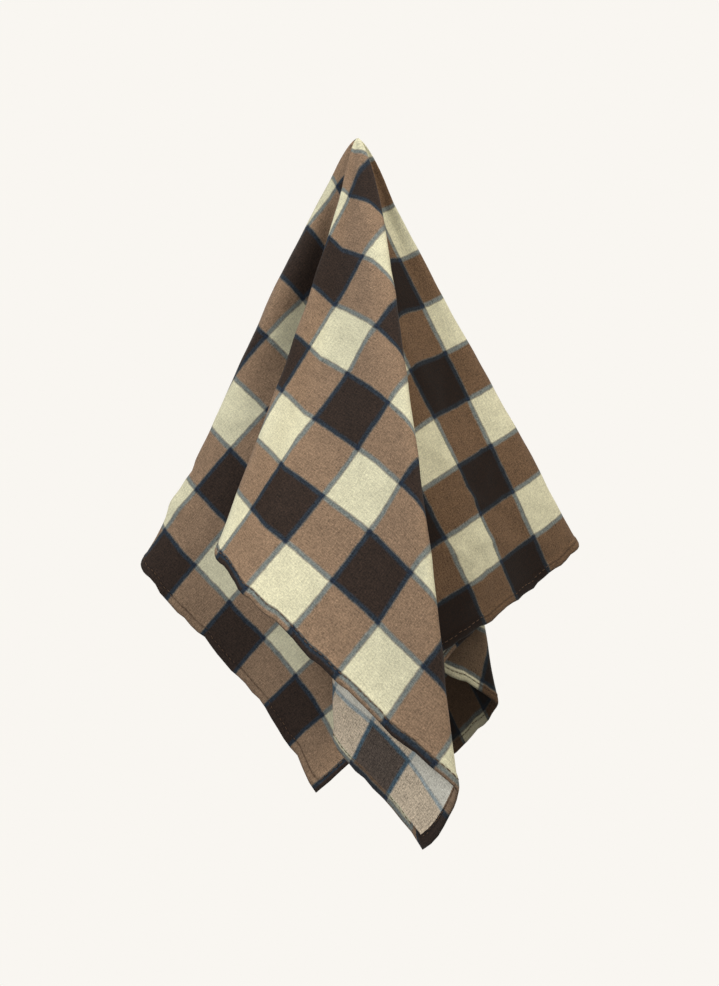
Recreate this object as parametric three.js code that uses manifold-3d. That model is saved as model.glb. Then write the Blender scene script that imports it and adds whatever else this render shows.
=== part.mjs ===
// A square check bandana hung from one pinched point near its middle.
// The cloth is one thin closed sheet. It falls from the pinch in eight folds, and its four edges are
// turned over in a narrow hem. Millimetres, +Z up, X across, +Y away from the side that is looked at.
// The origin is the pinched point that the cloth hangs from.

import * as THREE from "three";
import { mergeVertices } from "three/addons/utils/BufferGeometryUtils.js";
import Module from "manifold-3d";

// Flat size of the cloth: cut and hemmed to about 22 inches.
const CLOTH_WIDTH = 560;
const CLOTH_LENGTH = 551;
// The pinched point, from the two edges that meet at the left corner.
const PINCH_FROM_WIDTH_EDGE = 283;
const PINCH_FROM_LENGTH_EDGE = 254;

// Cloth thickness, and the thicker rim of the turned hem.
const SHEET = 1.2;
const HEM_THICKNESS = 2.0;
const HEM_WIDTH = 5.3;
// The width over which the sheet steps up to the hem.
const HEM_STEP = 1.3;
// Near the pinch the pressed folds share the room, so the sheet may be no thicker than this part of
// its distance from the pinch.
const PRESSED_SHARE = 0.02;

// Distances from the pinch, along the cloth, at which the table below places each line.
const STATIONS = [45, 130, 230, 330];

// The folds and the lines between them, in order around the pinch. The angle is where the line leaves
// the pinch on the flat cloth, in degrees from its width edge. Fold is how round a fold turns, and it
// is 0 for a line on the smooth cloth between folds. Slack is the cloth lost in the gather at the top.
// Then, at each station, come the place across (right is positive) and the depth (away is positive).
const LINES = [
  // line           angle fold slack   at 45 mm        130        230        330
  ["left fold",    194.3,   1,   20, -14.0,   3.9,   -51,    2,   -95,    7,  -142,    8],
  ["left panel",   208.0,   0,   16,  -9.5,   0.0,   -22,   10,   -50,  -10,   -76,   -5],
  ["left corner",  222.0,   0,   13,  -1.0,  -1.5,    -3,   -6,    10,  -11,    -9,  -19],
  ["pleat fold",   244.0,   1,    2,   9.5,   2.5,    29,    8,    68,   14,    92,   14],
  ["pleat layer",  265.0,   0,    5,  -4.0,  -6.0,   -10,  -18,    -6,  -30,     2,  -42],
  ["front crease", 284.5, 1.5,    8,  -9.3,  -7.1,   -33,  -25,   -62,  -56,   -92,  -82],
  ["front left",   292.0,   0,    7,  -4.0,  -9.6,   -17,  -28,   -43,  -60,   -71,  -98],
  ["front middle", 299.0,   0,    2,   1.5, -16.1,    -3,  -40,   -16,  -69,   -34,  -96],
  ["front right",  306.0,   0,   -4,   7.3, -19.7,    10,  -53,    10,  -81,     4, -100],
  ["front fold",   313.0,   1,  -11,  13.7, -20.6,    23,  -55,    33,  -90,    44,  -99],
  ["tongue fold",  327.6,   1,  -12,   7.5, -10.0,     6,  -32,   -10,  -51,   -12,  -36],
  ["right inner",  345.0,   0,    2,  10.7,  -0.5,    30,   -8,    56,  -16,    76,    5],
  ["right outer",  355.0,   0,    1,  16.0,   6.5,    49,   10,    85,    9,   122,   44],
  ["right fold",   364.0,   1,    6,  19.6,   6.9,    61,   18,   111,   29,   159,   59],
  ["back right",   382.0,   0,    2,  10.5,  14.0,    30,   44,    54,   77,    74,  120],
  ["back pleat",   399.0,   1,   -5,  -1.1,  16.0,    -4,   50,    -8,   82,    -4,   92],
  ["tucked fold",  423.5,   1,   -6,  10.2,   4.9,    32,   16,    63,   26,    83,   27],
  ["tucked layer", 442.0,   0,   10,  -1.6,   6.9,    -6,   20,   -15,   25,     5,   30],
  ["hidden fold",  461.0,   1,   10, -10.6,   6.3,   -43,   16,   -84,   29,  -108,   39],
  ["hidden layer", 482.0,   0,    4,  -6.3,  15.6,   -19,   49,   -28,   89,   -34,  130],
  ["back fold",    503.0,   1,    7,   4.0,  22.6,    13,   74,    32,  134,    55,  193],
  ["back left",    528.0,   0,   10, -13.1,  19.6,   -43,   64,   -63,  109,   -80,  151],
].map(([name, angle, fold, slack, ...places]) => ({ name, angle, fold, slack, places }));

// Where the cloth near the hem is drawn outwards (or inwards, below zero), in order around the pinch.
// It fades out at a distance from the pinch.
const HEM_DRAWS = [
  // angle  at the hem
  [194.3,    0],
  [198.0,  2.5],
  [209.0,  2.5],
  [214.0,    0],
  [219.0, -1.5],
  [222.0,    0],
  [272.0,    0],
  [284.5,   -7],
  [287.5,   -3],
  [291.0,    0],
  [313.0,    0],
  [315.0,    4],
  [317.0,    2],
  [318.5,    0],
  [342.0,    0],
  [349.0,    2],
  [359.0,    2],
  [364.0,    0],
  [407.0,    0],
  [413.0,    6],
  [418.0,  7.5],
  [421.0,    5],
  [423.5,    0],
  [554.3,    0],
].map(([angle, amount]) => ({ angle, amount }));
const DRAWN_BEYOND = 180;

// The folds close in towards the pinch as a blunt tip, fuller than a straight cone, which would be 1.
const TIP_BLUNTNESS = 0.65;

// A fold is round: its radius grows away from the pinch up to a limit.
const FOLD_RADIUS_AT_PINCH = 1;
const FOLD_RADIUS_GROWTH = 0.06;
const FOLD_RADIUS_LIMIT = 7;
const FOLD_TANGENT = 3.2;

// Mesh steps: angles beside each fold, the widest step between them, and the rows along each line.
const STEPS_BESIDE_FOLD = [1.1, 3];
const WIDEST_STEP = 7.5;
const NARROWEST_STEP = 0.8;
const ROWS_NEAR_PINCH = [9, 26, 45, 70];
const ROWS_TO_HEM = 10;
const SAMPLES_ALONG_SEGMENT = 24;

// The pinched tip is pressed solid: a small spindle through the top of the folds.
const TIP_TOP = 0.6;
const TIP_WIDEST_DEPTH = 12;
const TIP_BOTTOM_DEPTH = 30;
const TIP_RADIUS = 3.4;
const TIP_SIDES = 10;

const VERTEX_TOLERANCE = 0.001;

const count = LINES.length;
const FULL_TURN = 360;
const radians = (degrees) => (degrees * Math.PI) / 180;

// Cubic through the stations with slopes from the neighbouring steps; straight past either end.
function throughStations(stations, values, at) {
  const steps = stations.slice(1).map((s, i) => (values[i + 1] - values[i]) / (s - stations[i]));
  const spans = stations.slice(1).map((s, i) => s - stations[i]);
  const last = stations.length - 1;
  const slopes = values.map((_, i) => {
    if (i === 0 || i === last) return 0;
    const share = spans[i - 1] / (spans[i - 1] + spans[i]);
    return steps[i - 1] * (1 - share) + steps[i] * share;
  });
  slopes[0] = steps[0] * 1.5 - slopes[1] * 0.5;
  slopes[last] = steps[last - 1] * 1.5 - slopes[last - 1] * 0.5;
  let i = 0;
  while (i < last - 1 && at >= stations[i + 1]) i += 1;
  const span = spans[i];
  const over = Math.max((at - stations[i]) / span - 1, 0);
  const t = Math.min((at - stations[i]) / span, 1);
  const start = values[i] * (1 + 2 * t) * (1 - t) ** 2 + slopes[i] * span * t * (1 - t) ** 2;
  const end = values[i + 1] * t * t * (3 - 2 * t) + slopes[i + 1] * span * t * t * (t - 1);
  return start + end + slopes[i + 1] * over * span;
}

// Each line's stations in space. The drop follows from the length of cloth between two stations.
const lineStations = LINES.map(({ slack, places }) => {
  const points = [new THREE.Vector3()];
  STATIONS.forEach((station, i) => {
    const before = points[i];
    const length = i === 0 ? station - slack : station - STATIONS[i - 1];
    const across = places[2 * i];
    const depth = places[2 * i + 1];
    const side = (across - before.x) ** 2 + (depth - before.y) ** 2;
    points.push(new THREE.Vector3(across, depth, before.z - Math.sqrt(length ** 2 - side)));
  });
  return points;
});

// The place of a line at a distance from the pinch. Above the first station the folds close in.
function linePoint(line, distance) {
  const points = lineStations[line];
  if (distance <= STATIONS[0]) {
    const share = distance / STATIONS[0];
    const spread = share ** TIP_BLUNTNESS;
    return points[1].clone().multiply(new THREE.Vector3(spread, spread, share));
  }
  const placed = points.slice(1);
  const along = (axis) => throughStations(STATIONS, placed.map((p) => p[axis]), distance);
  return new THREE.Vector3(along("x"), along("y"), along("z"));
}

// The closed curve around the cloth at one distance from the pinch: its points by cloth angle.
function ringAt(distance) {
  const points = LINES.map((_, line) => linePoint(line, distance));
  const next = (line) => points[(line + 1) % count];
  const headings = points.map((point, line) => {
    const before = point.clone().sub(points[(line + count - 1) % count]).normalize();
    const after = next(line).clone().sub(point).normalize();
    return before.add(after).normalize();
  });
  const grown = FOLD_RADIUS_AT_PINCH + FOLD_RADIUS_GROWTH * Math.max(distance, STATIONS[0]);
  const scale = Math.min(distance / STATIONS[0], 1);
  const turn = FOLD_TANGENT * Math.min(FOLD_RADIUS_LIMIT, grown) * scale;
  const segments = points.map((from, line) => {
    const to = next(line);
    const chord = to.distanceTo(from);
    const pull = (index) => (LINES[index].fold ? Math.min(turn * LINES[index].fold, chord) : chord);
    const leaving = headings[line].clone().multiplyScalar(pull(line));
    const arriving = headings[(line + 1) % count].clone().multiplyScalar(pull((line + 1) % count));
    const samples = [];
    const lengths = [0];
    for (let i = 0; i <= SAMPLES_ALONG_SEGMENT; i += 1) {
      const t = i / SAMPLES_ALONG_SEGMENT;
      const sample = from.clone().multiplyScalar((1 + 2 * t) * (1 - t) ** 2);
      sample.addScaledVector(leaving, t * (1 - t) ** 2);
      sample.addScaledVector(to, t * t * (3 - 2 * t));
      sample.addScaledVector(arriving, t * t * (t - 1));
      if (i > 0) lengths.push(lengths[i - 1] + sample.distanceTo(samples[i - 1]));
      samples.push(sample);
    }
    return { samples, lengths };
  });
  return (line, share) => {
    const { samples, lengths } = segments[line];
    const target = share * lengths[SAMPLES_ALONG_SEGMENT];
    let i = 0;
    while (i < SAMPLES_ALONG_SEGMENT - 1 && lengths[i + 1] <= target) i += 1;
    const part = (target - lengths[i]) / (lengths[i + 1] - lengths[i]);
    return samples[i].clone().lerp(samples[i + 1], part);
  };
}

// Distance from the pinch to the cloth's edge at a cloth angle, or to a line parallel to the edge.
function distanceToEdge(angle, inset = 0) {
  const c = Math.cos(radians(angle));
  const s = Math.sin(radians(angle));
  const acrossRoom = c > 0 ? CLOTH_WIDTH - PINCH_FROM_WIDTH_EDGE : PINCH_FROM_WIDTH_EDGE;
  const alongRoom = s > 0 ? CLOTH_LENGTH - PINCH_FROM_LENGTH_EDGE : PINCH_FROM_LENGTH_EDGE;
  return Math.min((acrossRoom - inset) / Math.abs(c), (alongRoom - inset) / Math.abs(s));
}

// Where a place on the flat cloth comes to lie along its line, with the draw near the hem.
function drawnDistance(angle, distance) {
  const next = Math.max(HEM_DRAWS.findIndex((row) => row.angle > angle), 1);
  const before = HEM_DRAWS[next - 1];
  const after = HEM_DRAWS[next];
  const part = (angle - before.angle) / (after.angle - before.angle);
  const beyond = Math.max(distance - DRAWN_BEYOND, 0) / (distanceToEdge(angle) - DRAWN_BEYOND);
  return distance + THREE.MathUtils.lerp(before.amount, after.amount, part) * beyond ** 2;
}

// The corners of the square as cloth angles.
function cornerAngles() {
  const sides = [-PINCH_FROM_WIDTH_EDGE, CLOTH_WIDTH - PINCH_FROM_WIDTH_EDGE];
  const ends = [-PINCH_FROM_LENGTH_EDGE, CLOTH_LENGTH - PINCH_FROM_LENGTH_EDGE];
  const first = LINES[0].angle;
  const corners = sides.flatMap((x) => ends.map((y) => (Math.atan2(y, x) * 180) / Math.PI));
  return corners.map((angle) => first + THREE.MathUtils.euclideanModulo(angle - first, FULL_TURN));
}

// The cloth angles of the mesh: every line and corner, close steps beside a fold, even ones between.
function meshAngles() {
  const columns = [];
  const corners = cornerAngles();
  LINES.forEach((line, index) => {
    const from = line.angle;
    const to = index + 1 < count ? LINES[index + 1].angle : LINES[0].angle + FULL_TURN;
    const inside = (angle) => angle > from + NARROWEST_STEP && angle < to - NARROWEST_STEP;
    const fixed = [from, ...corners.filter(inside)];
    if (line.fold) fixed.push(...STEPS_BESIDE_FOLD.map((step) => from + step));
    if (LINES[(index + 1) % count].fold) fixed.push(...STEPS_BESIDE_FOLD.map((step) => to - step));
    fixed.sort((a, b) => a - b);
    fixed.push(to);
    for (let i = 0; i + 1 < fixed.length; i += 1) {
      const pieces = Math.ceil((fixed[i + 1] - fixed[i]) / WIDEST_STEP);
      for (let j = 0; j < pieces; j += 1) {
        const angle = fixed[i] + ((fixed[i + 1] - fixed[i]) * j) / pieces;
        columns.push({ line: index, share: (angle - from) / (to - from), angle });
      }
    }
  });
  return columns;
}

// Sheet thickness at a distance from the pinch, in the hem or inside it.
function thicknessAt(distance, inHem) {
  return Math.min(inHem ? HEM_THICKNESS : SHEET, PRESSED_SHARE * distance);
}

// The middle surface of the sheet as rows of points, from near the pinch to the hem.
function middleSurface(columns) {
  const rings = new Map();
  const pointAt = (column, distance) => {
    const key = distance.toFixed(3);
    if (!rings.has(key)) rings.set(key, ringAt(distance));
    return rings.get(key)(column.line, column.share);
  };
  return columns.map((column) => {
    const start = ROWS_NEAR_PINCH[ROWS_NEAR_PINCH.length - 1];
    const stop = distanceToEdge(column.angle, HEM_WIDTH);
    const distances = [...ROWS_NEAR_PINCH];
    for (let i = 1; i <= ROWS_TO_HEM; i += 1) distances.push(start + ((stop - start) * i) / ROWS_TO_HEM);
    const hemStarts = distances.length;
    distances.push(distanceToEdge(column.angle, HEM_WIDTH - HEM_STEP), distanceToEdge(column.angle));
    return distances.map((distance, row) => ({
      point: pointAt(column, drawnDistance(column.angle, distance)),
      thickness: thicknessAt(distance, row >= hemStarts),
    }));
  });
}

// Closed sheet: the face, the back and the rims that join them at the hem and at the top.
function sheetGeometry() {
  const columns = meshAngles();
  const middle = middleSurface(columns);
  const wide = columns.length;
  const rows = middle[0].length;
  const face = [];
  const back = [];
  for (let c = 0; c < wide; c += 1) {
    for (let r = 0; r < rows; r += 1) {
      const { point, thickness } = middle[c][r];
      const down = middle[c][Math.min(r + 1, rows - 1)].point.clone();
      down.sub(middle[c][Math.max(r - 1, 0)].point);
      const around = middle[(c + 1) % wide][r].point.clone();
      around.sub(middle[(c + wide - 1) % wide][r].point);
      const out = down.cross(around).normalize();
      face.push(point.clone().addScaledVector(out, thickness / 2));
      back.push(point.clone().addScaledVector(out, -thickness / 2));
    }
  }
  const positions = [...face, ...back].flatMap((p) => [p.x, p.y, p.z]);
  const faceAt = (c, r) => (c % wide) * rows + r;
  const backAt = (c, r) => wide * rows + faceAt(c, r);
  const index = [];
  const quad = (a, b, c, d) => index.push(a, b, c, a, c, d);
  for (let c = 0; c < wide; c += 1) {
    for (let r = 0; r + 1 < rows; r += 1) {
      quad(faceAt(c, r), faceAt(c, r + 1), faceAt(c + 1, r + 1), faceAt(c + 1, r));
      quad(backAt(c, r), backAt(c + 1, r), backAt(c + 1, r + 1), backAt(c, r + 1));
    }
    quad(faceAt(c, rows - 1), backAt(c, rows - 1), backAt(c + 1, rows - 1), faceAt(c + 1, rows - 1));
    quad(faceAt(c, 0), faceAt(c + 1, 0), backAt(c + 1, 0), backAt(c, 0));
  }
  const geometry = new THREE.BufferGeometry();
  geometry.setAttribute("position", new THREE.Float32BufferAttribute(positions, 3));
  geometry.setIndex(index);
  return geometry;
}

// The pressed tip, a small spindle around the pinch.
function tipGeometry() {
  const profile = [
    new THREE.Vector2(0, -TIP_BOTTOM_DEPTH),
    new THREE.Vector2(TIP_RADIUS, -TIP_WIDEST_DEPTH),
    new THREE.Vector2(0, TIP_TOP),
  ];
  const lathe = new THREE.LatheGeometry(profile, TIP_SIDES);
  lathe.rotateX(Math.PI / 2);
  return lathe;
}

const wasm = await Module();
wasm.setup();

// A closed body from a mesh: its doubled vertices joined and its flat triangles dropped.
function toSolid(mesh) {
  const shape = mesh.clone();
  ["normal", "uv"].forEach((name) => shape.deleteAttribute(name));
  const joined = mergeVertices(shape, VERTEX_TOLERANCE);
  const order = joined.index.array;
  const triangles = [];
  for (let i = 0; i < order.length; i += 3) {
    const corners = [order[i], order[i + 1], order[i + 2]];
    if (new Set(corners).size === 3) triangles.push(...corners);
  }
  return new wasm.Manifold(
    new wasm.Mesh({
      numProp: 3,
      vertProperties: joined.getAttribute("position").array,
      triVerts: new Uint32Array(triangles),
    }),
  );
}

function fromSolid(solid) {
  const { vertProperties, triVerts } = solid.getMesh();
  const geometry = new THREE.BufferGeometry();
  geometry.setAttribute("position", new THREE.BufferAttribute(vertProperties, 3));
  geometry.setIndex(new THREE.BufferAttribute(triVerts, 1));
  geometry.computeVertexNormals();
  return geometry;
}

const clothMaterial = new THREE.MeshStandardMaterial({
  color: 0x7d6455,
  roughness: 0.9,
  metalness: 0,
  side: THREE.DoubleSide,
});

const solid = toSolid(sheetGeometry()).add(toSolid(tipGeometry()));
const scarf = new THREE.Mesh(fromSolid(solid), clothMaterial);
scarf.name = "scarf";

const hungScarf = new THREE.Group();
hungScarf.add(scarf);

export default hungScarf;
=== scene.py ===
# A square check bandana that hangs from one pinched point near its middle.
# Metres, +Z up, X across, +Y away from the camera. The origin is the pinched point.
# The cloth is worked out in millimetres, and its meshes are turned into metres.

import math

import bpy
import numpy as np
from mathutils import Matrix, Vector


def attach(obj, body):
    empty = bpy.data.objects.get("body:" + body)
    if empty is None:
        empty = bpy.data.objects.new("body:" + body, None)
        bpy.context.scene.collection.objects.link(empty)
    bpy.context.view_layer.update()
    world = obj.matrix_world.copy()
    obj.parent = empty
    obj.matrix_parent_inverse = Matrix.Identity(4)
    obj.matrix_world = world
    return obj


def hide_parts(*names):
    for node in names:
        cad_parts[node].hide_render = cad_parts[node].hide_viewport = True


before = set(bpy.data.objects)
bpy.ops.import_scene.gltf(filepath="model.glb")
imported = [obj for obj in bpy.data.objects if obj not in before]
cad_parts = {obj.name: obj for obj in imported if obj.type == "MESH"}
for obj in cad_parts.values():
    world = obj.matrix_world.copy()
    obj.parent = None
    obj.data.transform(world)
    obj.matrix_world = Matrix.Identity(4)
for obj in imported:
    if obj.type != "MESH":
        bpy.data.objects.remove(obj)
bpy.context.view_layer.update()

MM = 0.001
TINY = 1e-9

# The cloth and how it hangs

# Flat size of the cloth, and the pinched point from two of its edges.
CLOTH_WIDTH = 560.0
CLOTH_LENGTH = 551.0
PINCH_FROM_WIDTH_EDGE = 283.0
PINCH_FROM_LENGTH_EDGE = 254.0
# The four edges on the flat cloth, from the pinched point.
LEFT_EDGE = -PINCH_FROM_WIDTH_EDGE
RIGHT_EDGE = CLOTH_WIDTH - PINCH_FROM_WIDTH_EDGE
NEAR_EDGE = -PINCH_FROM_LENGTH_EDGE
FAR_EDGE = CLOTH_LENGTH - PINCH_FROM_LENGTH_EDGE

# Lengths of cloth from the pinch at which each line has its place.
STATIONS = np.array([45.0, 130.0, 230.0, 330.0])

# line, angle on the flat cloth in degrees, roundness of the fold, slack, then across and depth at each
# station. A roundness of 0 is a line on an open panel.
LINES = [
    ("left fold", 194.3, 1, 20, -14.0, 3.9, -51, 2, -95, 7, -142, 8),
    ("left panel", 208.0, 0, 16, -9.5, 0.0, -22, 10, -50, -10, -76, -5),
    ("left corner", 222.0, 0, 13, -1.0, -1.5, -3, -6, 10, -11, -9, -19),
    ("pleat fold", 244.0, 1, 2, 9.5, 2.5, 29, 8, 68, 14, 92, 14),
    ("pleat layer", 265.0, 0, 5, -4.0, -6.0, -10, -18, -6, -30, 2, -42),
    ("front crease", 284.5, 1.5, 8, -9.3, -7.1, -33, -25, -62, -56, -92, -82),
    ("front left", 292.0, 0, 7, -4.0, -9.6, -17, -28, -43, -60, -71, -98),
    ("front middle", 299.0, 0, 2, 1.5, -16.1, -3, -40, -16, -69, -34, -96),
    ("front right", 306.0, 0, -4, 7.3, -19.7, 10, -53, 10, -81, 4, -100),
    ("front fold", 313.0, 1, -11, 13.7, -20.6, 23, -55, 33, -90, 44, -99),
    ("tongue fold", 327.6, 1, -12, 7.5, -10.0, 6, -32, -10, -51, -12, -36),
    ("right inner", 345.0, 0, 2, 10.7, -0.5, 30, -8, 56, -16, 76, 5),
    ("right outer", 355.0, 0, 1, 16.0, 6.5, 49, 10, 85, 9, 122, 44),
    ("right fold", 364.0, 1, 6, 19.6, 6.9, 61, 18, 111, 29, 159, 59),
    ("back right", 382.0, 0, 2, 10.5, 14.0, 30, 44, 54, 77, 74, 120),
    ("back pleat", 399.0, 1, -5, -1.1, 16.0, -4, 50, -8, 82, -4, 92),
    ("tucked fold", 423.5, 1, -6, 10.2, 4.9, 32, 16, 63, 26, 83, 27),
    ("tucked layer", 442.0, 0, 10, -1.6, 6.9, -6, 20, -15, 25, 5, 30),
    ("hidden fold", 461.0, 1, 10, -10.6, 6.3, -43, 16, -84, 29, -108, 39),
    ("hidden layer", 482.0, 0, 4, -6.3, 15.6, -19, 49, -28, 89, -34, 130),
    ("back fold", 503.0, 1, 7, 4.0, 22.6, 13, 74, 32, 134, 55, 193),
    ("back left", 528.0, 0, 10, -13.1, 19.6, -43, 64, -63, 109, -80, 151),
]
COUNT = len(LINES)
ANGLES = np.array([row[1] for row in LINES])
NEXT_ANGLES = np.append(ANGLES[1:], ANGLES[0] + 360)
FOLD = np.array([row[2] for row in LINES], float)

# How far the gather pulls the weave along a line, across and along the flat cloth, at the pinch and at
# each station. The other lines have none.
WEAVE_PULL = {
    "left fold": (-18, 6, -4, 12, -1, 2, 0, 0, 0, 0),
    "left panel": (-18, 8, -6, 8, -1, -2, 0, 0, -1, 0),
    "left corner": (-14, 14, -3, 3, -1, 0, 0, -2, 0, 0),
    "front crease": (0, 0, -8, -1, -8, -3, -5, -2, 8, 2),
    "front left": (0, 0, -4, 1, 1, 1, 0, 1, -1, 0),
    "front middle": (0, 0, -1, -1, 0, 0, 0, 0, 0, 0),
    "front right": (0, 0, 1, -5, 0, 0, 0, -1, -1, 1),
    "front fold": (0, 0, 6, -6, 1, 0, 1, 1, 2, 1),
    "tongue fold": (0, 0, -1, 0, 0, -1, 1, -2, 3, 4),
    "right inner": (0, 0, -1, 0, 0, 0, 0, 0, 0, 0),
    "right outer": (0, 0, -1, 0, 1, 0, 2, 0, 1, 0),
    "right fold": (0, 0, -6, 0, -4, -1, -2, -1, -2, 0),
    "tucked fold": (0, 0, -4, 3, -5, 4, -4, 4, 0, 0),
}

# Where the hem is drawn outwards (or inwards, below zero): angle, millimetres at the hem.
HEM_DRAWS = [
    (194.3, 0),
    (198.0, 2.5),
    (209.0, 2.5),
    (214.0, 0),
    (219.0, -1.5),
    (222.0, 0),
    (272.0, 0),
    (284.5, -7),
    (287.5, -3),
    (291.0, 0),
    (313.0, 0),
    (315.0, 4),
    (317.0, 2),
    (318.5, 0),
    (342.0, 0),
    (349.0, 2),
    (359.0, 2),
    (364.0, 0),
    (407.0, 0),
    (413.0, 6),
    (418.0, 7.5),
    (421.0, 5),
    (423.5, 0),
]
# The draw starts this far from the pinch, and grows by this power.
DRAWN_BEYOND = 180.0
DRAW_GROWTH = 2
# The edge is a little uneven: waves in a full turn around the pinch, height, phase in degrees.
EDGE_WAVES = [(47, 0.6, 0), (83, 0.45, 100), (131, 0.35, 40)]
EDGE_WAVE_GROWTH = 6

TIP_BLUNTNESS = 0.65
FOLD_RADIUS_AT_PINCH = 1.0
FOLD_RADIUS_GROWTH = 0.06
FOLD_RADIUS_LIMIT = 7.0
FOLD_TANGENT = 3.2
ARC_SAMPLES = 24


def line_stations(row):
    """The line's place in space at the pinch and at each station."""
    slack = row[3]
    places = row[4:]
    points = [np.zeros(3)]
    previous = 0.0
    for i, station in enumerate(STATIONS):
        length = station - previous - (slack if i == 0 else 0.0)
        previous = station
        across, depth = places[2 * i], places[2 * i + 1]
        x, y, z = points[-1]
        drop = math.sqrt(length ** 2 - (across - x) ** 2 - (depth - y) ** 2)
        points.append(np.array([across, depth, z - drop]))
    return np.array(points)


def station_slopes(values):
    """Slopes of a smooth curve through a line's places at its stations."""
    spans = np.diff(STATIONS)[:, None]
    steps = np.diff(values, axis=0) / spans
    slopes = np.zeros_like(values)
    share = spans[:-1] / (spans[:-1] + spans[1:])
    slopes[1:-1] = steps[:-1] * (1 - share) + steps[1:] * share
    slopes[0] = steps[0] * 1.5 - slopes[1] * 0.5
    slopes[-1] = steps[-1] * 1.5 - slopes[-2] * 0.5
    return slopes


STATION_PLACES = np.array([line_stations(row)[1:] for row in LINES])
STATION_SLOPES = np.array([station_slopes(places) for places in STATION_PLACES])


def hermite(start, end, leaving, arriving, t):
    """A point on the smooth curve between two places with given headings."""
    from_start = start * (1 + 2 * t) * (1 - t) ** 2 + leaving * t * (1 - t) ** 2
    return from_start + end * t * t * (3 - 2 * t) + arriving * t * t * (t - 1)


def line_points(line, distance):
    """Places of one line at an array of distances from the pinch."""
    values = STATION_PLACES[line]
    slopes = STATION_SLOPES[line]
    i = np.clip(np.searchsorted(STATIONS, distance, side="right") - 1, 0, len(STATIONS) - 2)
    span = (STATIONS[i + 1] - STATIONS[i])[:, None]
    t = (distance - STATIONS[i])[:, None] / span
    past_last = np.maximum(t - 1, 0)
    placed = hermite(values[i], values[i + 1], slopes[i] * span, slopes[i + 1] * span, np.clip(t, 0, 1))
    placed += slopes[i + 1] * past_last * span
    near = np.minimum(distance / STATIONS[0], 1)
    spread = near ** TIP_BLUNTNESS
    closing = np.stack([spread, spread, near], axis=-1)
    return np.where(near[:, None] < 1, values[0] * closing, placed)


def unit(vectors):
    return vectors / np.maximum(np.linalg.norm(vectors, axis=-1, keepdims=True), TINY)


def segment_points(line, share, distance):
    """Places between one line and the next, by share of the way along the curve between them."""
    before, start, end, after = (line_points((line + k) % COUNT, distance) for k in (-1, 0, 1, 2))
    heading_start = unit(unit(start - before) + unit(end - start))
    heading_end = unit(unit(end - start) + unit(after - end))
    chord = np.linalg.norm(end - start, axis=1)
    grown = FOLD_RADIUS_AT_PINCH + FOLD_RADIUS_GROWTH * np.maximum(distance, STATIONS[0])
    turn = FOLD_TANGENT * np.minimum(FOLD_RADIUS_LIMIT, grown) * np.minimum(distance / STATIONS[0], 1)
    folds = [FOLD[(line + k) % COUNT] for k in (0, 1)]
    pulls = [np.minimum(turn * fold, chord) if fold else chord for fold in folds]
    leaving = (heading_start * pulls[0][:, None])[:, None]
    arriving = (heading_end * pulls[1][:, None])[:, None]
    t = np.linspace(0, 1, ARC_SAMPLES + 1)[None, :, None]
    curve = hermite(start[:, None], end[:, None], leaving, arriving, t)
    pieces = np.linalg.norm(np.diff(curve, axis=1), axis=2)
    lengths = np.concatenate([np.zeros((len(share), 1)), np.cumsum(pieces, axis=1)], axis=1)
    target = share * lengths[:, -1]
    i = np.clip((lengths <= target[:, None]).sum(axis=1) - 1, 0, ARC_SAMPLES - 1)
    every = np.arange(len(share))
    part = ((target - lengths[every, i]) / (lengths[every, i + 1] - lengths[every, i]))[:, None]
    return curve[every, i] * (1 - part) + curve[every, i + 1] * part


def surface_points(lines, shares, distance):
    """Mid-surface points for each column and row; distance is an array of columns by rows."""
    out = np.zeros(distance.shape + (3,))
    row_count = distance.shape[1]
    for line in range(COUNT):
        mine = np.nonzero(lines == line)[0]
        found = segment_points(line, np.repeat(shares[mine], row_count), distance[mine].ravel())
        out[mine] = found.reshape(len(mine), row_count, 3)
    return out


def distance_to_edge(angle, inset=0.0):
    c, s = np.cos(np.radians(angle)), np.sin(np.radians(angle))
    across = np.where(c > 0, RIGHT_EDGE, -LEFT_EDGE) - inset
    along = np.where(s > 0, FAR_EDGE, -NEAR_EDGE) - inset
    return np.minimum(across / np.maximum(np.abs(c), TINY), along / np.maximum(np.abs(s), TINY))


def edge_inset(x, y):
    """Distance in from the nearest edge, and the place along that edge."""
    across = np.where(x > 0, RIGHT_EDGE - x, x - LEFT_EDGE)
    along = np.where(y > 0, FAR_EDGE - y, y - NEAR_EDGE)
    return np.minimum(across, along), np.where(across < along, y, x)


def drawn(angle, distance):
    """Where places on the flat cloth come to lie along their lines, with the draw near the hem."""
    beyond = np.maximum(distance - DRAWN_BEYOND, 0) / (distance_to_edge(angle)[:, None] - DRAWN_BEYOND)
    draw = np.interp(angle, *zip(*HEM_DRAWS))
    uneven = np.zeros_like(angle)
    for per_turn, height, phase in EDGE_WAVES:
        uneven += height * np.sin(np.radians(angle * per_turn + phase))
    return distance + draw[:, None] * beyond ** DRAW_GROWTH + uneven[:, None] * beyond ** EDGE_WAVE_GROWTH


# Creases, waves and puckers

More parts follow.
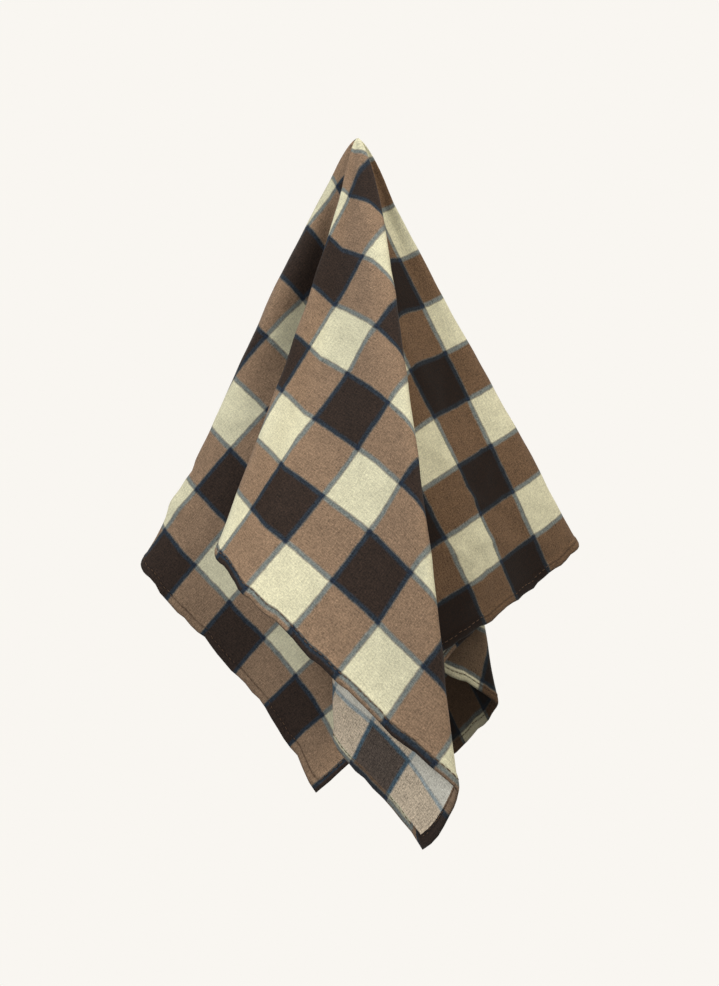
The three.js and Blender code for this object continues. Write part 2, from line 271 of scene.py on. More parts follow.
# Soft creases: middle on the flat cloth (x, y), heading in degrees, length, width, height.
CREASES = [
    (-238, -90, 186, 60, 3.5, 1.0),
    (-222, -100, 200, 44, 4.0, -0.8),
    (-246, -58, 100, 46, 7.0, 1.7),
    (-226, -50, 104, 30, 4.5, -1.3),
    (-176, -66, 140, 44, 4.0, 0.6),
    (-196, -160, 60, 60, 6.0, 0.7),
    (-120, -214, 30, 56, 6.0, -0.6),
    (-250, -180, 130, 50, 5.0, 0.6),
    (214, -34, 60, 34, 3.0, 1.1),
    (226, -24, 25, 40, 3.0, -1.0),
    (236, -42, 75, 30, 2.6, 1.0),
    (246, -54, 15, 40, 3.4, -1.0),
    (230, -70, 50, 40, 3.8, 1.1),
    (257, -62, 100, 34, 3.0, 0.9),
    (206, -56, 110, 36, 3.2, -0.8),
    (186, -46, 20, 56, 4.0, 0.8),
    (150, -22, 150, 56, 4.5, -0.8),
    (196, -12, 120, 46, 3.6, 0.8),
    (168, -70, 70, 40, 4.0, 0.7),
    (120, -34, 10, 60, 5.0, 0.7),
    (250, -18, 60, 40, 3.4, 0.8),
    (58, -178, 110, 70, 7.0, 0.45),
    (132, -232, 40, 60, 7.0, -0.45),
    (166, -206, 150, 60, 8.0, 0.5),
    (88, -226, 80, 50, 6.0, 0.5),
    (116, -152, 20, 60, 8.0, -0.4),
    (250, -200, 60, 40, 5.0, 0.6),
    (268, -236, 120, 40, 6.0, -0.7),
    (150, 180, 30, 90, 9.0, 0.8),
    (-120, 160, 120, 100, 9.0, 0.8),
    (-60, 230, 20, 90, 8.0, -0.7),
    (-210, 90, 80, 80, 8.0, 0.8),
]
# How far a crease bows off a straight line, for each square millimetre along it.
CREASE_BOW = 0.006
# Long shallow waves in the cloth: wavelength, heading in degrees, height, phase in radians.
WAVES = [
    (61, 25, 0.22, 0.4),
    (43, 110, 0.16, 2.1),
    (29, 65, 0.09, 4.0),
    (23, 150, 0.07, 1.2),
    (17, 5, 0.04, 5.2),
]
# The stitched hem puckers: wavelength along the edge, height, phase in radians.
PUCKERS = [
    (8.6, 0.16, 0.0),
    (13.7, 0.22, 1.9),
    (27.0, 0.30, 3.1),
]
PUCKER_REACH = 7.0
# The cloth is pulled smooth nearer the pinch than this.
CALM_NEAR_PINCH = 90.0


def ripple(x, y):
    """Height of the creases, waves and puckers over the smooth fall of the cloth."""
    height = np.zeros_like(x)
    for middle_x, middle_y, heading, length, width, rise in CREASES:
        c, s = math.cos(math.radians(heading)), math.sin(math.radians(heading))
        along = (x - middle_x) * c + (y - middle_y) * s
        across = (y - middle_y) * c - (x - middle_x) * s + CREASE_BOW * along ** 2
        height += rise * np.exp(-((across / width) ** 2) - (along / (length / 2)) ** 4)
    for wavelength, heading, rise, phase in WAVES:
        place = x * math.cos(math.radians(heading)) + y * math.sin(math.radians(heading))
        height += rise * np.sin(2 * math.pi * place / wavelength + phase)
    inset, along = edge_inset(x, y)
    for wavelength, rise, phase in PUCKERS:
        wave = rise * np.sin(2 * math.pi * along / wavelength + phase)
        height += wave * np.exp(-((inset / PUCKER_REACH) ** 2))
    return height * np.clip(np.hypot(x, y) / CALM_NEAR_PINCH, 0, 1) ** 2


# The cloth mesh: columns that run from the pinch to the hem, with the same rows in each

WIDEST_STEP = 1.0
STEPS_BESIDE_FOLD = (0.45, 0.95, 1.5, 2.2)
# A corner of the cloth has a column of its own unless a line is this near, in degrees.
CORNER_CLEARANCE = 0.3
# Rows from the pinch outwards, then parallel to the edge through the hem.
NEAR_ROWS = (0.4, 1.5, 3, 5, 8, 12, 17, 23, 30, 38, 47, 57)
MIDDLE_ROWS = 74
SHEET = 0.5
# At the pinch the sheet is pressed to this share of the distance from it.
PRESSED_SHARE = 0.02
STITCH_INSET = 4.3
# Thickness of the hem under its stitches.
STITCH_SEAT = 0.95
# Distance in from the edge and thickness: the turned hem with its row of stitches.
HEM_PROFILE = (
    (8.0, SHEET),
    (6.4, 0.55),
    (5.7, 1.0),
    (5.1, 1.35),
    (STITCH_INSET, STITCH_SEAT),
    (3.4, 1.4),
    (1.8, 1.5),
    (0.6, 1.3),
    (0.0, 0.7),
)
# The hem is turned to the reverse side, and shows the printed face there, this far in.
TURNED_HEM = 5.5


def corner_angles():
    found = []
    for x in (LEFT_EDGE, RIGHT_EDGE):
        for y in (NEAR_EDGE, FAR_EDGE):
            angle = math.degrees(math.atan2(y, x))
            found.append(ANGLES[0] + (angle - ANGLES[0]) % 360)
    return found


def mesh_columns():
    """Line before each column, its share of the way to the next line, and its angle."""
    found = []
    corners = corner_angles()
    for i in range(COUNT):
        start, end = ANGLES[i], NEXT_ANGLES[i]
        fixed = [start] + [a for a in corners if start + CORNER_CLEARANCE < a < end - CORNER_CLEARANCE]
        if FOLD[i]:
            fixed += [start + step for step in STEPS_BESIDE_FOLD]
        if FOLD[(i + 1) % COUNT]:
            fixed += [end - step for step in STEPS_BESIDE_FOLD]
        fixed = sorted(fixed) + [end]
        for a, b in zip(fixed, fixed[1:]):
            pieces = max(1, math.ceil((b - a) / WIDEST_STEP - TINY))
            for j in range(pieces):
                angle = a + (b - a) * j / pieces
                found.append((i, (angle - start) / (end - start), angle))
    lines, shares, angles = zip(*found)
    return np.array(lines), np.array(shares), np.array(angles)


def mesh_distances(angles):
    """Distance from the pinch on the flat cloth, by column and row."""
    hem_start = distance_to_edge(angles, HEM_PROFILE[0][0])[:, None]
    steps = np.linspace(0, 1, MIDDLE_ROWS + 1)[1:-1]
    near = np.repeat(np.array(NEAR_ROWS, float)[None], len(angles), axis=0)
    middle = NEAR_ROWS[-1] + (hem_start - NEAR_ROWS[-1]) * steps[None]
    hem = np.stack([distance_to_edge(angles, inset) for inset, _ in HEM_PROFILE], axis=1)
    return np.concatenate([near, middle, hem], axis=1)


def sheet_thickness(distance):
    thickness = np.full(distance.shape, SHEET)
    thickness[:, -len(HEM_PROFILE):] = np.array([thick for _, thick in HEM_PROFILE])
    return np.minimum(thickness, PRESSED_SHARE * distance)


def facing(surface):
    down = np.gradient(surface, axis=1)
    around = np.roll(surface, -1, axis=0) - np.roll(surface, 1, axis=0)
    return unit(np.cross(down, around))


column_lines, column_shares, column_angles = mesh_columns()
flat_distance = mesh_distances(column_angles)
wide, rows = flat_distance.shape
flat_x = flat_distance * np.cos(np.radians(column_angles))[:, None]
flat_y = flat_distance * np.sin(np.radians(column_angles))[:, None]
middle_surface = surface_points(column_lines, column_shares, drawn(column_angles, flat_distance))
middle_surface += facing(middle_surface) * ripple(flat_x, flat_y)[..., None]
half_sheet = facing(middle_surface) * sheet_thickness(flat_distance)[..., None] / 2

# Where the check pattern lies on the mesh

STRIPE = 30.0
PINCH_STRIPE = (0.57, 8.3)
# Keeps every stripe count above zero in the pattern.
STRIPE_SHIFT = 20.0


def weave_pull():
    """The pull of the weave at every mesh point, blended between lines and between stations."""
    places = np.concatenate([[0.0], STATIONS])
    none = (0,) * (2 * len(places))
    table = np.array([WEAVE_PULL.get(row[0], none) for row in LINES], float)
    table = table.reshape(COUNT, len(places), 2)
    out = np.zeros((wide, rows, 2))
    for column, (line, share) in enumerate(zip(column_lines, column_shares)):
        for k in range(2):
            here = np.interp(flat_distance[column], places, table[line, :, k])
            there = np.interp(flat_distance[column], places, table[(line + 1) % COUNT, :, k])
            out[column, :, k] = here * (1 - share) + there * share
    return out


def stripe_places():
    """Stripe coordinates at every mesh point of the printed face."""
    pull = weave_pull()
    across = (flat_x + pull[..., 0]) / STRIPE + PINCH_STRIPE[0] + STRIPE_SHIFT
    along = (flat_y + pull[..., 1]) / STRIPE + PINCH_STRIPE[1] + STRIPE_SHIFT
    return across, along


def turned_places(across, along):
    """The same for the hem turned to the reverse, mirrored about the edge of the cloth."""
    s = np.sin(np.radians(column_angles))
    to_length_edge = np.where(s > 0, FAR_EDGE, -NEAR_EDGE)
    on_length_edge = np.isclose(distance_to_edge(column_angles) * np.abs(s), to_length_edge)[:, None]
    turned_across = np.where(on_length_edge, across, 2 * across[:, -1:] - across)
    turned_along = np.where(on_length_edge, 2 * along[:, -1:] - along, along)
    return turned_across, turned_along


# Building the cloth

# Painted shade at the very edge of the turned hem, falling off over this many millimetres.
RIM_SHADE = 0.7
# Painted shade along the groove of the row of stitches, as dark as at the edge, for this many millimetres
# to each side.
SEAM_SHADE_REACH = 0.3
# Painted shade, by cloth angle: 0 none, 1 darker print colours on the right panel, and more in the tucked
# cloth.
PAINTED_SHADE_BY_ANGLE = [
    (313.0, 0),
    (330.0, 1),
    (375.0, 1),
    (400.0, 1.35),
    (445.0, 1.35),
    (470.0, 0),
]
# How pale the reverse is, by cloth angle: in the tucked cloth the reverse takes nearly the face's darker
# colours, as painted shade.
REVERSE_PALENESS_AND_SHADE = [
    (372.0, 1),
    (392.0, 0.1),
    (445.0, 0.1),
    (470.0, 1),
]


def mesh_object(name, vertices, faces):
    mesh = bpy.data.meshes.new(name)
    mesh.from_pydata(vertices, [], faces)
    mesh.polygons.foreach_set("use_smooth", np.ones(len(mesh.polygons), bool))
    obj = bpy.data.objects.new(name, mesh)
    bpy.context.collection.objects.link(obj)
    return obj


def cloth_quads():
    """Faces of the closed sheet: the face, the reverse, the rim at the hem and the one at the pinch."""
    column = np.arange(wide)[:, None]
    beside = (column + 1) % wide
    row = np.arange(rows - 1)[None]
    a, b = column * rows + row, column * rows + row + 1
    d, e = beside * rows + row + 1, beside * rows + row
    under = wide * rows
    face = np.stack([a, b, d, e], axis=-1).reshape(-1, 4)
    back = np.stack([a, e, d, b], axis=-1).reshape(-1, 4) + under
    top, top_beside = (column * rows).ravel(), (beside * rows).ravel()
    hem, hem_beside = top + rows - 1, top_beside + rows - 1
    hem_rim = np.stack([hem, hem + under, hem_beside + under, hem_beside], axis=-1)
    pinch_rim = np.stack([top, top_beside, top_beside + under, top + under], axis=-1)
    return np.concatenate([face, back, hem_rim, pinch_rim])


def back_corners(chosen_rows):
    """Marks the mesh corners on the reverse whose row is chosen."""
    face = np.zeros(wide * (rows - 1), bool)
    rims = np.zeros(2 * wide, bool)
    return np.repeat(np.concatenate([face, np.tile(chosen_rows, wide), rims]), 4)


def build_cloth():
    """The closed sheet, with its stripe coordinates and its painted shade at the hem, on the right panel
    and in the tucked cloth.
    """
    sides = (middle_surface + half_sheet, middle_surface - half_sheet)
    vertices = np.concatenate([side.reshape(-1, 3) for side in sides]) * MM
    quads = cloth_quads()
    obj = mesh_object("scarf_cloth", vertices.tolist(), quads.tolist())
    mesh = obj.data

    # The mesh point of each corner, the same for the face and the reverse.
    here = quads.ravel() % (wide * rows)
    turned_rows = sum(inset < TURNED_HEM for inset, _ in HEM_PROFILE)
    in_hem = np.arange(rows - 1) >= rows - turned_rows
    on_turned_hem = back_corners(in_hem)
    stripes = stripe_places()
    places = []
    for plain, turned in zip(stripes, turned_places(*stripes)):
        places.append(np.where(on_turned_hem, turned.ravel()[here], plain.ravel()[here]))
    uv = mesh.uv_layers.new(name="stripes")
    uv.data.foreach_set("uv", np.stack(places, axis=-1).ravel())

    # Painted shade at the hem's edge and in the groove of its stitches.
    inset = edge_inset(flat_x, flat_y)[0]
    painted_rim_shade = np.exp(-inset / RIM_SHADE) + (np.abs(inset - STITCH_INSET) < SEAM_SHADE_REACH)
    # Painted shade by cloth angle: darker print colours on the right panel, and more in the tucked cloth.
    painted_shade = np.repeat(np.interp(column_angles, *zip(*PAINTED_SHADE_BY_ANGLE)), rows)
    # The reverse's paleness, lowered in the tucked cloth as painted shade.
    reverse_paleness_and_shade = np.repeat(np.interp(column_angles, *zip(*REVERSE_PALENESS_AND_SHADE)), rows)
    for name, values in (
        ("reverse_and_shade", back_corners(~in_hem) * reverse_paleness_and_shade[here]),
        ("painted_rim_shade", painted_rim_shade.ravel()[here]),
        ("painted_shade", painted_shade[here]),
    ):
        mesh.attributes.new(name, "FLOAT", "CORNER").data.foreach_set("value", values)
    mesh.update()
    return obj


# The stitches of the hem

STITCH_PITCH = 3.2
STITCH_LENGTH = 2.4
# How far stitches stray from their row, and how much more they do at one end than at the other.
STITCH_WANDER = 0.18
STITCH_SLANT = 0.3
STITCH_SEED = 5
THREAD_RADIUS = 0.2
STITCH_SIDES = 5
# Share of the stitch, height over the cloth and share of the thread's radius at each ring.
STITCH_RINGS = (
    (-0.5, -0.15, 0.5),
    (-0.3, 0.08, 1.0),
    (0.0, 0.14, 1.0),
    (0.3, 0.08, 1.0),
    (0.5, -0.15, 0.5),
)
# Step on the flat cloth that gives the facing of the cloth at a stitch.
FACING_STEP = 0.5


def place_on_cloth(x, y):
    """Place on the smooth fall of the cloth of points on the flat cloth."""
    angle = ANGLES[0] + (np.degrees(np.arctan2(y, x)) - ANGLES[0]) % 360
    line = np.searchsorted(ANGLES, angle, side="right") - 1
    share = (angle - ANGLES[line]) / (NEXT_ANGLES[line] - ANGLES[line])
    return surface_points(line, share, drawn(angle, np.hypot(x, y)[:, None]))[:, 0]


def cloth_frame(x, y):
    """Place and facing of the rippled cloth at points on the flat cloth."""
    place = place_on_cloth(x, y)
    across = place_on_cloth(x + FACING_STEP, y) - place
    along = place_on_cloth(x, y + FACING_STEP) - place
    up = unit(np.cross(across, along))
    return place + up * ripple(x, y)[:, None], up


def stitch_rows():
    """Start and end of the four rows of stitches on the flat cloth."""
    left, right = LEFT_EDGE + STITCH_INSET, RIGHT_EDGE - STITCH_INSET
    near, far = NEAR_EDGE + STITCH_INSET, FAR_EDGE - STITCH_INSET
    corners = np.array([(left, near), (right, near), (right, far), (left, far)])
    return zip(corners, np.roll(corners, -1, axis=0))


def stitch_vertices(start, heading, middles, wander, side):
    """Vertices of a row of stitches on one side of the cloth, ring by ring for each stitch."""
    sideways = np.array([heading[1], -heading[0]])
    # The stitches of the reverse lie between those of the face.
    shift = 0.5 * STITCH_PITCH * (side < 0)
    frames = []
    for share, _, _ in STITCH_RINGS:
        along = middles + share * STITCH_LENGTH + shift
        stray = wander * (1 + STITCH_SLANT * share)
        flat = start + heading * along[:, None] + sideways * stray[:, None]
        frames.append(cloth_frame(flat[:, 0], flat[:, 1]))
    direction = unit(frames[-1][0] - frames[0][0])
    turn = np.radians(np.arange(STITCH_SIDES) * 360 / STITCH_SIDES)[:, None]
    rings = []
    for (place, up), (_, height, thick) in zip(frames, STITCH_RINGS):
        out = up * side
        lateral = np.cross(direction, out)
        centre = place + out * (STITCH_SEAT / 2 + height)
        offset = out[:, None] * np.cos(turn) + lateral[:, None] * np.sin(turn)
        rings.append(centre[:, None] + offset * THREAD_RADIUS * thick)
    return np.stack(rings, axis=1).reshape(-1, 3)


def stitch_faces(base):
    """Faces of one closed stitch whose vertices start at a base."""
    faces = []
    last_ring = base + (len(STITCH_RINGS) - 1) * STITCH_SIDES
    for ring in range(base, last_ring, STITCH_SIDES):
        for j in range(STITCH_SIDES):
            a, b = ring + j, ring + (j + 1) % STITCH_SIDES
            faces.append((a, b, b + STITCH_SIDES, a + STITCH_SIDES))
    faces.append(tuple(base + j for j in reversed(range(STITCH_SIDES))))
    faces.append(tuple(last_ring + j for j in range(STITCH_SIDES)))
    return faces


def build_stitches():
    """Short stitches along the hem, on the face and on the reverse."""
    rng = np.random.default_rng(STITCH_SEED)
    found = []
    for start, end in stitch_rows():
        length = np.linalg.norm(end - start)
        middles = np.arange(STITCH_PITCH, length - STITCH_PITCH / 2, STITCH_PITCH)
        wander = rng.normal(0, STITCH_WANDER, len(middles))
        for side in (1, -1):
            found.append(stitch_vertices(start, (end - start) / length, middles, wander, side))
    vertices = np.concatenate(found) * MM
    faces = []
    for base in range(0, len(vertices), len(STITCH_RINGS) * STITCH_SIDES):
        faces += stitch_faces(base)
    return mesh_object("scarf_stitching", vertices.tolist(), faces)


# Materials


def srgb(r, g, b):
    def linear(v):
        v /= 255
        return v / 12.92 if v <= 0.04045 else ((v + 0.055) / 1.055) ** 2.4
    return (linear(r), linear(g), linear(b), 1.0)


CREAM = srgb(203, 199, 170)
BROWN = srgb(131, 108, 87)
DARK = srgb(43, 32, 26)
# Darker copies of the brown, dark and navy for the right panel and the tucked cloth: painted shade.
SHADED_BROWN = srgb(102, 79, 58)
SHADED_DARK = srgb(24, 12, 5)
GREY_BLUE = srgb(109, 115, 112)
NAVY = srgb(34, 43, 53)
SHADED_NAVY = srgb(26, 32, 39)
DEEP_BLUE = srgb(25, 37, 53)

# The print is paler and flatter on the reverse.
REVERSE_CREAM = srgb(205, 202, 190)
REVERSE_BROWN = srgb(192, 176, 154)
REVERSE_DARK = srgb(76, 66, 59)
REVERSE_PALE_LINE = srgb(148, 158, 160)
REVERSE_LINE = srgb(64, 84, 97)

THREAD = srgb(90, 68, 51)
STAGE = srgb(249, 246, 241)

# In stripe units: a light stripe runs from 0 to its width, and the rest of each two units is dark. A
# thin line lies along each edge of the dark stripe, inside it.
LIGHT_STRIPE = 0.935
LINE_WIDTH = 0.082
SOFT_EDGE = 0.04

# Each noise is read in a layer of its own, so that no two agree.
WANDER_LAYER = 21.0
STREAK_LAYER = 7.0
GRAIN_LAYER = 3.0
CLOUD_LAYER = 11.0
# How far the stripes wander with the yarns, in stripes.
WANDER = 0.03
WANDER_SCALE = 7.0
# Yarns are uneven: streaks, fine across the yarn and long along it, fine grain and soft clouds.
STREAK_FINE = 50.0
STREAK_LONG = 7.0
STREAK_ROUGHNESS = 0.6
GRAIN_SCALE = 34.0
GRAIN_ROUGHNESS = 0.75
GRAIN_SHARE = 2.0
CLOUD_SCALE = 3.0
CLOUD_ROUGHNESS = 0.55
CLOUD_STRENGTH = 0.4
# How much the yarns change the tone on cream, and how much more they do elsewhere.
YARN_STRENGTH = 0.55
MORE_ON_BROWN = 0.5
MORE_ON_DARK = 0.5
MORE_ON_REVERSE = 0.12
DARKEST_TONE = 0.15
# How much the painted shade at the hem's edge and stitches darkens the tone.
RIM_SHADE_STRENGTH = 0.45
# Threads of the plain weave in one stripe, and how high they stand beside the streaks.
THREADS = 62.0
THREAD_RELIEF = 0.25
BUMP_STRENGTH = 0.5
BUMP_HEIGHT = 0.2 * MM


class Nodes:
    """Short calls for building a node tree."""

    def __init__(self, owner):
        owner.use_nodes = True
        self.tree = owner.node_tree
        self.tree.nodes.clear()

    def add(self, kind, **settings):
        node = self.tree.nodes.new(kind)
        for key, value in settings.items():
            setattr(node, key, value)
        return node

    def link(self, out, into):
        self.tree.links.new(out, into)

    def put(self, socket, value):
        if isinstance(value, bpy.types.NodeSocket):
            self.link(value, socket)
        else:
            socket.default_value = value

    def math(self, operation, a, b=0.0, c=None):
        node = self.add("ShaderNodeMath", operation=operation)
        self.put(node.inputs[0], a)
        self.put(node.inputs[1], b)
        if c is not None:
            self.put(node.inputs[2], c)
        return node.outputs[0]

    def step(self, value, edge):
        """A rise from 0 to 1 at an edge, as soft as a printed one."""
        node = self.add("ShaderNodeMath", operation="MULTIPLY_ADD", use_clamp=True)
        self.put(node.inputs[0], value)
        node.inputs[1].default_value = 1 / SOFT_EDGE
        node.inputs[2].default_value = 0.5 - edge / SOFT_EDGE
        return node.outputs[0]

    def mix(self, factor, a, b, blend="MIX"):
        node = self.add("ShaderNodeMix", data_type="RGBA", blend_type=blend)
        self.put(node.inputs["Factor"], factor)
        self.put(node.inputs[6], a)
        self.put(node.inputs[7], b)
        return node.outputs[2]

    def shaded(self, colour, tone):
        return self.mix(1.0, colour, self.vector(tone, tone, tone), "MULTIPLY")

    def noise(self, vector, scale, detail=2.0, roughness=0.5):
        node = self.add("ShaderNodeTexNoise", noise_dimensions="3D")
        self.put(node.inputs["Vector"], vector)
        node.inputs["Scale"].default_value = scale
        node.inputs["Detail"].default_value = detail
        node.inputs["Roughness"].default_value = roughness
        return node.outputs["Fac"]

    def vector(self, x, y, z=0.0):
        node = self.add("ShaderNodeCombineXYZ")
        for socket, value in zip(node.inputs, (x, y, z)):
            self.put(socket, value)
        return node.outputs[0]

    def attribute(self, name):
        return self.add("ShaderNodeAttribute", attribute_name=name).outputs["Fac"]

    def matte(self, colour, roughness, specular):
        """A dull surface shader, joined to the output."""
        bsdf = self.add("ShaderNodeBsdfPrincipled")
        self.link(colour, bsdf.inputs["Base Color"])
        bsdf.inputs["Roughness"].default_value = roughness
        bsdf.inputs["Specular IOR Level"].default_value = specular
        self.link(bsdf.outputs[0], self.add("ShaderNodeOutputMaterial").inputs[0])
        return bsdf


def yarn_places(n):
    """Stripe coordinates that wander a little with the yarns."""
    parts = n.add("ShaderNodeSeparateXYZ")
    n.link(n.add("ShaderNodeUVMap", uv_map="stripes").outputs[0], parts.inputs[0])
    across, along = parts.outputs[0], parts.outputs[1]
    wander = n.noise(n.vector(across, along, WANDER_LAYER), WANDER_SCALE)
    u = n.math("ADD", across, n.math("MULTIPLY_ADD", wander, WANDER, -WANDER / 2))
    v = n.math("ADD", along, n.math("MULTIPLY_ADD", wander, -WANDER, WANDER / 2))
    return u, v


def stripe_masks(n, place):
    """Dark stripe and thin line masks along one direction of the cloth."""
    # Half a unit of shift keeps the wrap from one pair of stripes to the next off the lines.
    place = n.math("SUBTRACT", n.math("FLOORED_MODULO", n.math("ADD", place, 0.5), 2.0), 0.5)
    steps = [n.step(place, edge) for edge in (-LINE_WIDTH, 0.0, LIGHT_STRIPE, LIGHT_STRIPE + LINE_WIDTH)]
    dark = n.math("SUBTRACT", 1.0, n.math("SUBTRACT", steps[1], steps[2]))
    first = n.math("SUBTRACT", steps[0], steps[1])
    last = n.math("SUBTRACT", steps[2], steps[3])
    return dark, n.math("ADD", first, last)


def check_colour(n, masks_u, masks_v, any_dark, both_dark, painted_shade, reverse_and_shade):
    """The check with its thin lines, as printed on the face and as it shows on the reverse, with painted
    shade in darker copies of its colours.
    """
    line_u, line_v = masks_u[1], masks_v[1]
    any_line = n.math("MAXIMUM", line_u, line_v)
    # The brown, dark and navy turn to their darker copies on the right panel and the tucked cloth:
    # painted shade.
    colour = n.mix(any_dark, CREAM, n.mix(painted_shade, BROWN, SHADED_BROWN))
    colour = n.mix(both_dark, colour, n.mix(painted_shade, DARK, SHADED_DARK))
    line_colour = n.mix(both_dark, GREY_BLUE, n.mix(painted_shade, NAVY, SHADED_NAVY))
    line_colour = n.mix(n.math("MULTIPLY", line_u, line_v), line_colour, DEEP_BLUE)
    colour = n.mix(any_line, colour, line_colour)
    under = n.mix(any_dark, REVERSE_CREAM, REVERSE_BROWN)
    under = n.mix(both_dark, under, REVERSE_DARK)
    under = n.mix(any_line, under, n.mix(both_dark, REVERSE_PALE_LINE, REVERSE_LINE))
    return n.mix(reverse_and_shade, colour, under)


def yarn_streaks(n, u, v):
    """Streaks along both yarns with the grain; it averages 2."""
    fine_u, long_u = n.math("MULTIPLY", u, STREAK_FINE), n.math("MULTIPLY", u, STREAK_LONG)
    fine_v, long_v = n.math("MULTIPLY", v, STREAK_FINE), n.math("MULTIPLY", v, STREAK_LONG)
    along_v = n.noise(n.vector(fine_u, long_v), 1.0, roughness=STREAK_ROUGHNESS)
    along_u = n.noise(n.vector(long_u, fine_v, STREAK_LAYER), 1.0, roughness=STREAK_ROUGHNESS)
    grain = n.noise(n.vector(u, v, GRAIN_LAYER), GRAIN_SCALE, roughness=GRAIN_ROUGHNESS)
    return n.math("ADD", n.math("ADD", along_v, along_u), n.math("MULTIPLY", grain, GRAIN_SHARE))


def yarn_tone(n, u, v, streaks, any_dark, both_dark, painted_shade, reverse_and_shade):
    """How light the cloth is, around 1, with the streaks, soft clouds, the painted shade at the hem's
    edge and stitches, and the deeper painted shade in the tucked cloth.
    """
    strength = n.math("MULTIPLY_ADD", any_dark, MORE_ON_BROWN, YARN_STRENGTH)
    strength = n.math("MULTIPLY_ADD", both_dark, MORE_ON_DARK, strength)
    strength = n.math("MULTIPLY_ADD", reverse_and_shade, MORE_ON_REVERSE, strength)
    tone = n.math("MULTIPLY_ADD", n.math("SUBTRACT", streaks, 2.0), strength, 1.0)
    cloud = n.noise(n.vector(u, v, CLOUD_LAYER), CLOUD_SCALE, 3.0, CLOUD_ROUGHNESS)
    tone = n.math("ADD", tone, n.math("MULTIPLY_ADD", cloud, CLOUD_STRENGTH, -CLOUD_STRENGTH / 2))
    tone = n.math("MAXIMUM", tone, DARKEST_TONE)
    # Painted shade at the edge of the hem and along its stitches.
    tone = n.math("MULTIPLY", tone, n.math("MULTIPLY_ADD", n.attribute("painted_rim_shade"), -RIM_SHADE_STRENGTH, 1.0))
    # Past 1, painted shade darkens the brown and the dark further, and leaves the cream.
    deepest_painted_shade = n.math("MULTIPLY", n.math("MAXIMUM", n.math("SUBTRACT", painted_shade, 1.0), 0.0), any_dark)
    return n.math("MULTIPLY", tone, n.math("SUBTRACT", 1.0, deepest_painted_shade))


def weave_bump(n, u, v, streaks):
    """The relief of the plain weave and its uneven yarns."""
    weave = [n.math("SINE", n.math("MULTIPLY", place, THREADS * math.pi)) for place in (u, v)]
    height = n.math("MULTIPLY_ADD", n.math("MULTIPLY", *weave), THREAD_RELIEF, streaks)
    bump = n.add("ShaderNodeBump")
    bump.inputs["Strength"].default_value = BUMP_STRENGTH
    bump.inputs["Distance"].default_value = BUMP_HEIGHT
    n.link(height, bump.inputs["Height"])
    return bump.outputs[0]


def cloth_material():
    material = bpy.data.materials.new("scarf_check")
    n = Nodes(material)
    u, v = yarn_places(n)
    masks_u, masks_v = stripe_masks(n, u), stripe_masks(n, v)
    both_dark = n.math("MULTIPLY", masks_u[0], masks_v[0])
    any_dark = n.math("MAXIMUM", masks_u[0], masks_v[0])
    # Painted shade by cloth angle, and the share of the reverse's colours, which painted shade lowers in
    # the tucked cloth.
    painted_shade, reverse_and_shade = n.attribute("painted_shade"), n.attribute("reverse_and_shade")
    colour = check_colour(n, masks_u, masks_v, any_dark, both_dark, painted_shade, reverse_and_shade)
    streaks = yarn_streaks(n, u, v)
    tone = yarn_tone(n, u, v, streaks, any_dark, both_dark, painted_shade, reverse_and_shade)
    bsdf = n.matte(n.shaded(colour, tone), roughness=0.85, specular=0.18)
    bsdf.inputs["Sheen Weight"].default_value = 0.06
    bsdf.inputs["Sheen Roughness"].default_value = 0.5
    n.link(weave_bump(n, u, v, streaks), bsdf.inputs["Normal"])
    return material


def thread_material():
    material = bpy.data.materials.new("scarf_thread")
    n = Nodes(material)
    place = n.add("ShaderNodeTexCoord").outputs["Object"]
    tone = n.math("MULTIPLY_ADD", n.noise(place, 900.0), 0.5, 0.75)
    n.matte(n.shaded(THREAD, tone), roughness=0.7, specular=0.25)
    return material


cloth = build_cloth()
cloth.data.materials.append(cloth_material())
stitches = build_stitches()
stitches.data.materials.append(thread_material())
for piece in (cloth, stitches):
    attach(piece, "root")
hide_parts("scarf")

# Floor and backdrop, in metres

FLOOR_Z = -0.75
FLOOR_FRONT = -4.0
BACKDROP_Y = 1.6
BACKDROP_TOP = 4.0
BACKDROP_BEND = 0.8
BEND_STEPS = 12
STAGE_HALF_WIDTH = 4.0


def glowing_material(name, colour):
    """An evenly lit pale surface, as in a product photograph."""
    material = bpy.data.materials.new(name)
    n = Nodes(material)
    glow = n.add("ShaderNodeEmission")
    glow.inputs["Color"].default_value = colour
    n.link(glow.outputs[0], n.add("ShaderNodeOutputMaterial").inputs[0])
    return material


def build_stage():
    """A pale floor that curves up into a pale backdrop."""
    profile = [(FLOOR_FRONT, FLOOR_Z)]
    for i in range(BEND_STEPS + 1):
        turn = math.radians(90 * i / BEND_STEPS)
        y = BACKDROP_Y - BACKDROP_BEND + BACKDROP_BEND * math.sin(turn)
        profile.append((y, FLOOR_Z + BACKDROP_BEND - BACKDROP_BEND * math.cos(turn)))
    profile.append((BACKDROP_Y, BACKDROP_TOP))
    vertices = [(x, y, z) for y, z in profile for x in (-STAGE_HALF_WIDTH, STAGE_HALF_WIDTH)]
    faces = [(2 * i, 2 * i + 1, 2 * i + 3, 2 * i + 2) for i in range(len(profile) - 1)]
    stage = mesh_object("pale_stage", vertices, faces)
    stage.data.materials.append(glowing_material("pale_stage", STAGE))
    # It shows as the plain background and doesn't light the cloth.
    stage.visible_diffuse = False


# Lights: a cool key from the left, a warm fill from the right and a soft dome, brighter above

LIT_POINT = (0.0, 0.0, -0.2)
KEY_POWER = 25.0
KEY_COLOUR = (0.96, 0.98, 1.0)
FILL_POWER = 29.0
FILL_COLOUR = (1.0, 0.95, 0.86)
DOME_ABOVE = 0.5
DOME_BELOW = 0.1
DOME_COLOUR = (1.0, 0.96, 0.9, 1.0)


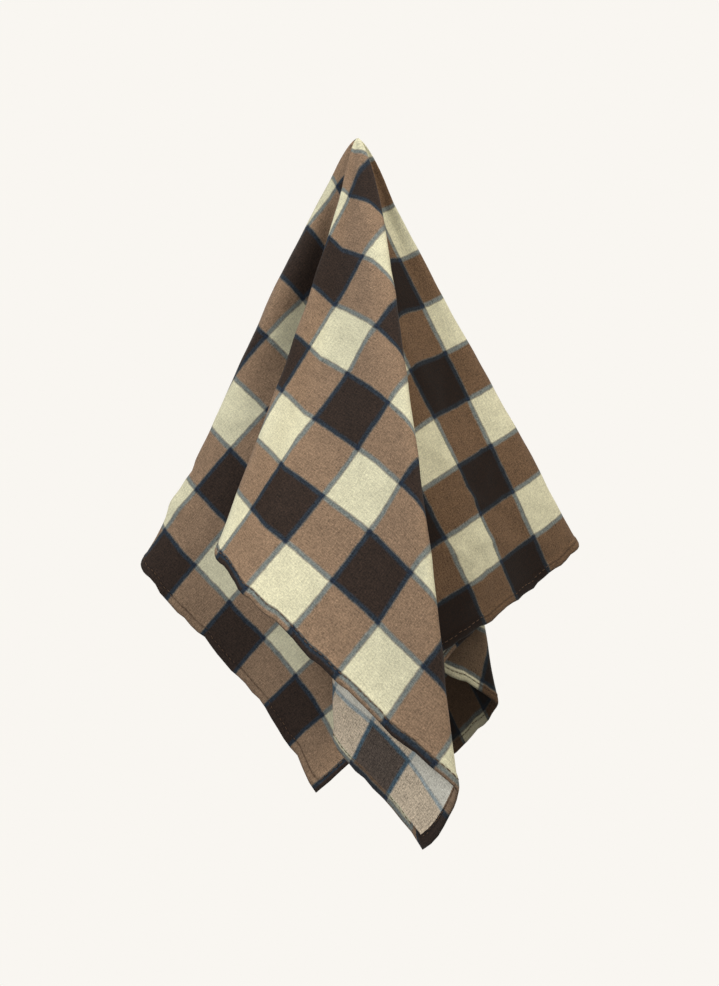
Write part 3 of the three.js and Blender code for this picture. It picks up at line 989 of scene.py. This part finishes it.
def area_light(name, place, size, power, colour):
    data = bpy.data.lights.new(name, "AREA")
    data.shape = "SQUARE"
    data.size = size
    data.energy = power
    data.color = colour
    obj = bpy.data.objects.new(name, data)
    obj.location = place
    obj.rotation_euler = (Vector(LIT_POINT) - Vector(place)).to_track_quat("-Z", "Y").to_euler()
    bpy.context.collection.objects.link(obj)


def soft_world():
    """The dome of light."""
    world = bpy.data.worlds.new("studio")
    bpy.context.scene.world = world
    n = Nodes(world)
    parts = n.add("ShaderNodeSeparateXYZ")
    n.link(n.add("ShaderNodeTexCoord").outputs["Generated"], parts.inputs[0])
    height = n.math("MULTIPLY_ADD", parts.outputs[2], 0.5, 0.5)
    background = n.add("ShaderNodeBackground")
    background.inputs["Color"].default_value = DOME_COLOUR
    strength = n.math("MULTIPLY_ADD", height, DOME_ABOVE - DOME_BELOW, DOME_BELOW)
    n.link(strength, background.inputs["Strength"])
    n.link(background.outputs[0], n.add("ShaderNodeOutputWorld").inputs[0])


build_stage()
area_light("key", (-1.0, -1.25, 0.75), 0.9, KEY_POWER, KEY_COLOUR)
area_light("fill", (1.3, -1.0, 1.1), 1.0, FILL_POWER, FILL_COLOUR)
soft_world()
bpy.context.scene.view_settings.view_transform = "Standard"

# The photograph's viewpoint, found from the check pattern

IMAGE_HEIGHT = 986
FOCAL_PIXELS = 910.0
CAMERA_DISTANCE = 0.5138
# The pinched point from the middle of the picture, in pixels to the right and upwards.
PINCH_PIXEL_OFFSET = (-2.0, 355.0)
SENSOR = 36.0


def build_camera():
    data = bpy.data.cameras.new("camera")
    data.sensor_width = SENSOR
    data.lens = SENSOR * FOCAL_PIXELS / IMAGE_HEIGHT
    data.clip_start = 0.01
    camera = bpy.data.objects.new("camera", data)
    metres_per_pixel = CAMERA_DISTANCE / FOCAL_PIXELS
    across, up = (-offset * metres_per_pixel for offset in PINCH_PIXEL_OFFSET)
    camera.location = (across, -CAMERA_DISTANCE, up)
    camera.rotation_euler = (math.pi / 2, 0, 0)
    bpy.context.collection.objects.link(camera)
    return camera


bpy.context.scene.camera = build_camera()
